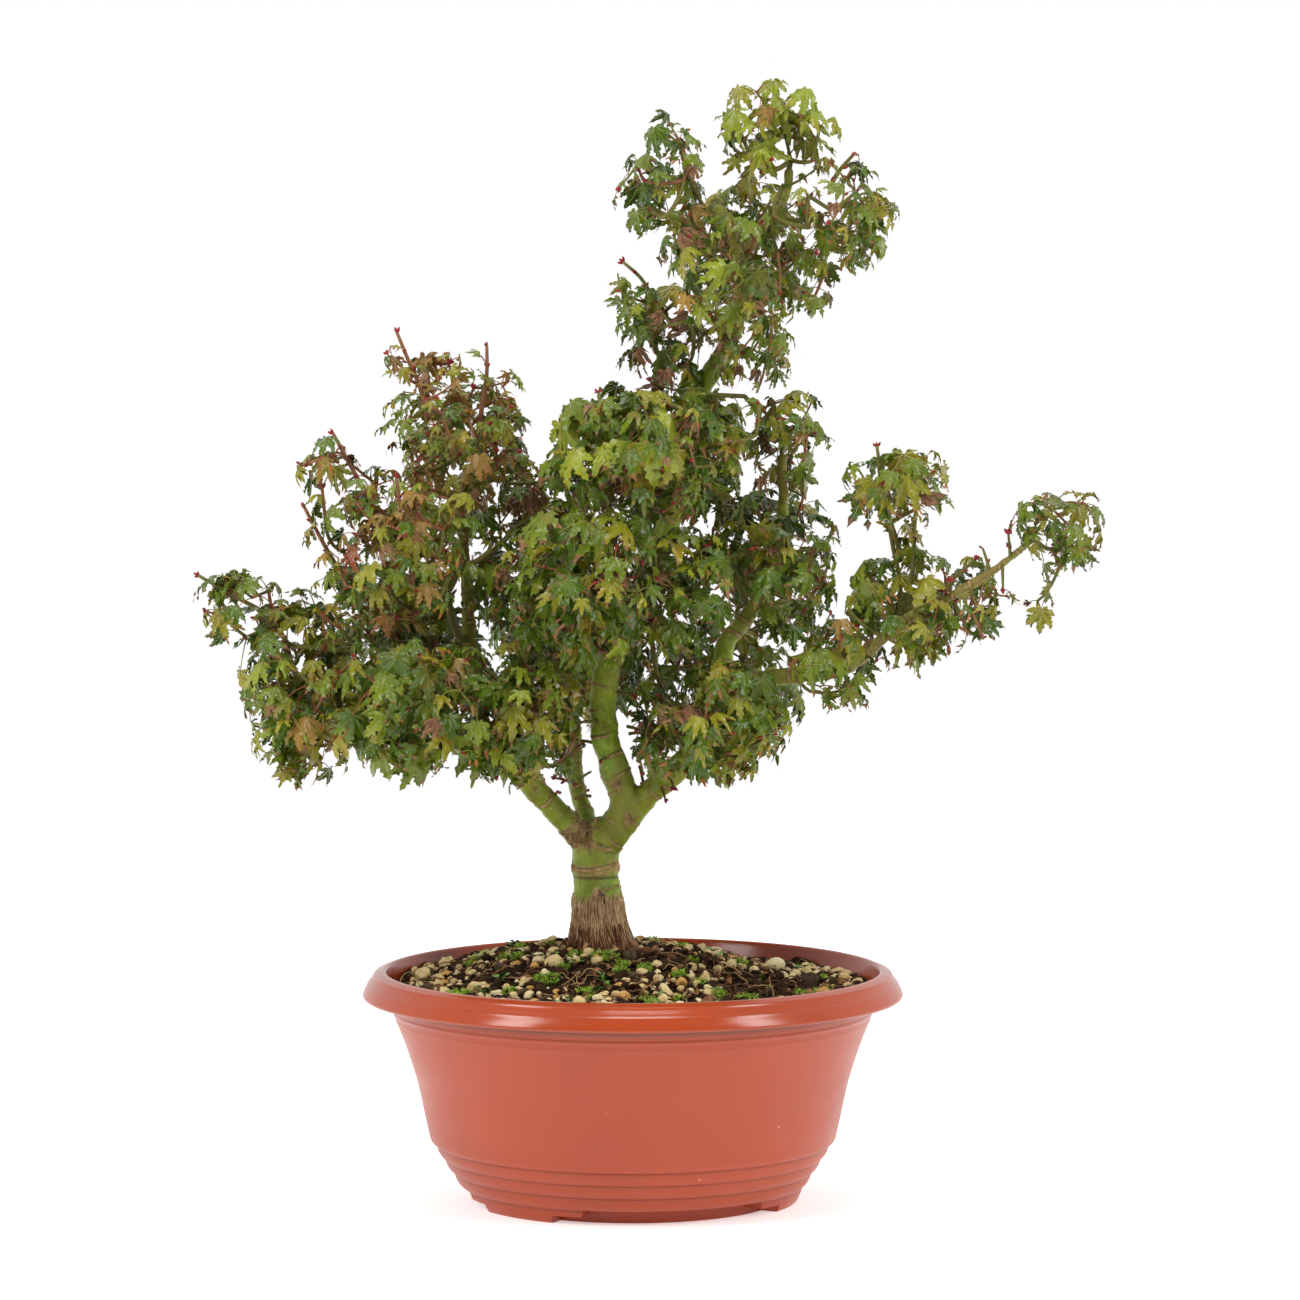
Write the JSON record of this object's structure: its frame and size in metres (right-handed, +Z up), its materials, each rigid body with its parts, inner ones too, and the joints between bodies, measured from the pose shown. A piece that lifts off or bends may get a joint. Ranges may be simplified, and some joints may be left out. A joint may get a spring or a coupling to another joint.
{
  "type": "potted japanese maple bonsai",
  "caption": "Young Japanese maple trained as a small bonsai, with a forked green trunk and open leafy masses, in a round terracotta-coloured plastic pot filled with gritty soil.",
  "frame": {"origin": "on the pot's vertical axis, at the flat underside of its bottom plate, which its three feet hold 1.3 mm off the floor; floor level is z = 0", "axes": "+Z up; the front that the picture shows faces -Y; +X to the right in the picture"},
  "size_m": [0.467, 0.3007, 0.5784],
  "materials": {
    "pot": "satin, glossier on the lip",
    "soil": "rough, dark and gritty",
    "old_bark": "smooth green bark over a fibrous brown foot",
    "green_bark": "smooth green bark with tan scars",
    "leaves_green": "slightly glossy leaves",
    "leaves_bronze": "slightly glossy leaves with bronze tints",
    "leaves_yellow": "slightly glossy yellow-green leaves"
  },
  "bodies": {
    "root": {"pot": "pot", "soil": "soil", "trunk": "old_bark", "leader": "green_bark", "right_bough": "green_bark", "left_bough": "green_bark", "back_bough": "green_bark", "lower_right_bough": "green_bark", "far_right_shoot": "green_bark", "left_riser": "green_bark", "top_shoot": "green_bark", "top_tuft": "leaves_yellow", "top_right": "leaves_yellow", "top_left": "leaves_green", "top_front": "leaves_green", "top_back": "leaves_green", "neck_left": "leaves_green", "neck_right": "leaves_green", "centre_high": "leaves_green", "centre_back": "leaves_green", "centre_low": "leaves_green", "heart": "leaves_green", "right_upper": "leaves_green", "right_middle": "leaves_green", "right_back": "leaves_green", "right_low": "leaves_green", "right_low_back": "leaves_green", "right_end": "leaves_green", "right_under": "leaves_green", "far_right": "leaves_yellow", "left_upper": "leaves_bronze", "left_upper_back": "leaves_bronze", "left_centre": "leaves_green", "left_middle": "leaves_bronze", "left_far": "leaves_green", "left_low": "leaves_green", "left_low_back": "leaves_green", "left_inner": "leaves_green", "back_low": "leaves_green"}
  },
  "joints": []
}
